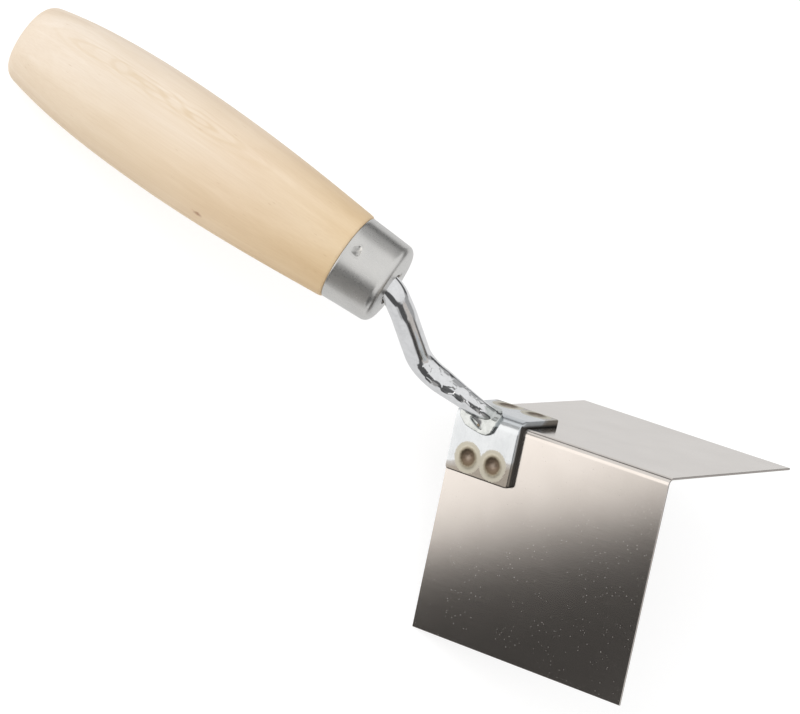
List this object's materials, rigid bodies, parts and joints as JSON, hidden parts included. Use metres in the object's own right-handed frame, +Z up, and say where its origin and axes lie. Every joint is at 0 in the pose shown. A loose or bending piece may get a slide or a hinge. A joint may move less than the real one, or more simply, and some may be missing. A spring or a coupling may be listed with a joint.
{
  "type": "outside corner trowel",
  "caption": "Outside-corner trowel: a right-angle stainless blade spot-welded to a bracket, on a cranked steel tang with a pressed ferrule and a turned wooden handle.",
  "frame": {"origin": "centre of the object's box on the bench plane, when the trowel lies on the butt of its handle and the two heel corners of its blade", "axes": "+Z up from the bench, +X from the butt of the handle towards the toe of the blade, +Y towards the left flange; XZ is the mirror plane"},
  "size_m": [0.2686, 0.1018, 0.0938],
  "materials": {
    "beech_wood": "bare sanded turned beech",
    "zinc_ferrule": "pressed steel, satin zinc plate",
    "zinc_rod": "forged steel rod, bright zinc plate",
    "zinc_bracket": "sheet steel, bluish zinc plate with brown heat rings over the welds",
    "stainless_blade": "cold-rolled stainless sheet, fine satin",
    "weld_metal": "heat-tinted weld metal"
  },
  "bodies": {
    "root": {"blade": "stainless_blade", "bracket": "zinc_bracket", "tang": "zinc_rod", "ferrule": "zinc_ferrule", "handle": "beech_wood", "spot_weld_left_front": "weld_metal", "spot_weld_left_rear": "weld_metal", "spot_weld_right_front": "weld_metal", "spot_weld_right_rear": "weld_metal", "tang_weld_left": "weld_metal", "tang_weld_right": "weld_metal"}
  },
  "joints": []
}
